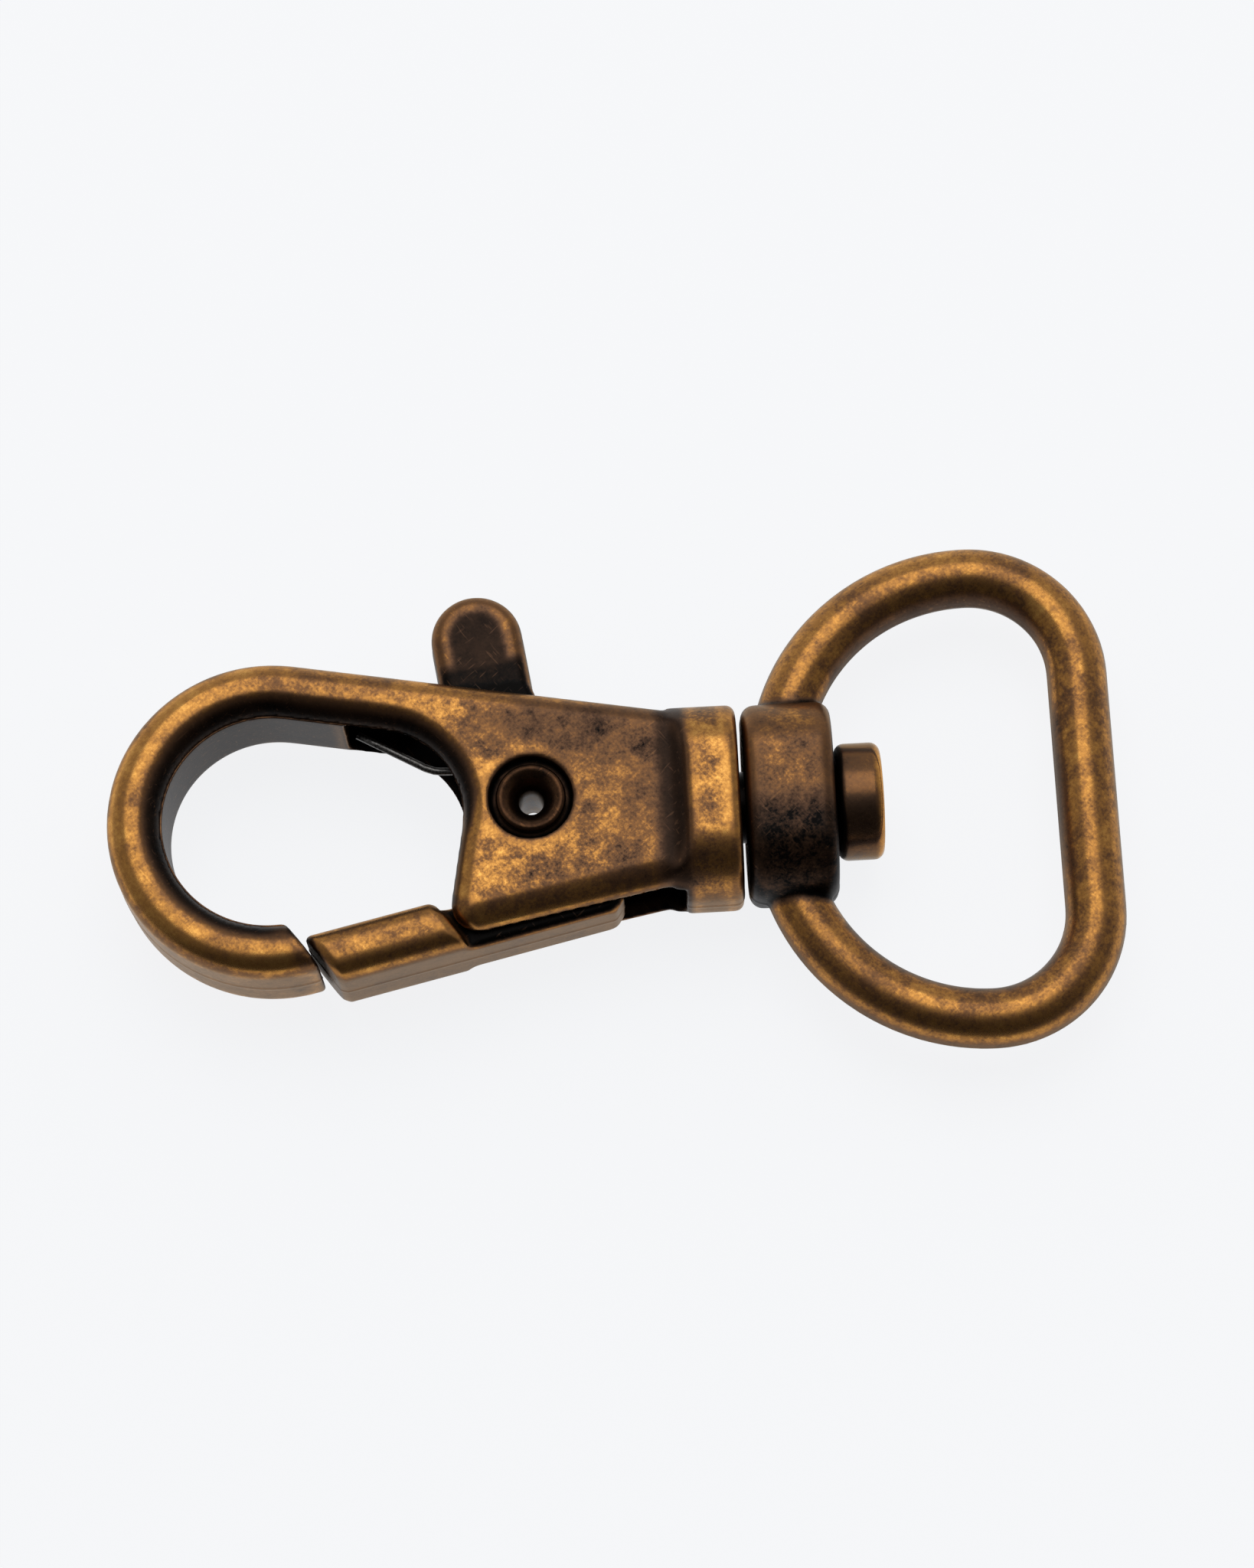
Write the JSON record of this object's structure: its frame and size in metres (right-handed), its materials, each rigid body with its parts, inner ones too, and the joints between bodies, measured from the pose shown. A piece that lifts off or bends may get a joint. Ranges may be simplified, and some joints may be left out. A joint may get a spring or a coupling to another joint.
{
  "type": "swivel snap hook",
  "caption": "Antique brass swivel snap hook with a sprung thumb trigger that closes the hook, and a D-shaped strap eye that turns on a headed pin.",
  "frame": {"origin": "centre of the overall box: mid-length on the swivel axis, in the middle of the thickness", "axes": "+X along the swivel axis from the hook to the strap eye, +Y towards the thumb tab, +Z out of the flat face"},
  "size_m": [0.0506, 0.026, 0.0078],
  "materials": {
    "antique_brass": "antique brass plating on zinc die casting, brushed back on the high spots, dark in the recesses",
    "pin_brass": "antique brass plated steel, satin",
    "spring_steel": "drawn spring wire"
  },
  "bodies": {
    "hook": {"hook_body": "antique_brass", "pivot_rivet": "pin_brass", "swivel_pin": "pin_brass", "gate_spring": "spring_steel"},
    "trigger": {"trigger_gate": "antique_brass"},
    "eye": {"swivel_eye": "antique_brass"}
  },
  "joints": [
    {"name": "trigger_pivot", "type": "hinge", "parent": "hook", "child": "trigger", "pos_m": [-0.00407, 0.00025, 0], "axis": [0, 0, -1], "range_deg": [0, 26], "stiffness_Nm_per_rad": 0.015, "springref_deg": -31.51, "deforming": ["gate_spring"]},
    {"name": "eye_swivel", "type": "hinge", "parent": "hook", "child": "eye", "pos_m": [0.00632, 0, 0], "axis": [1, 0, 0], "continuous": true}
  ]
}
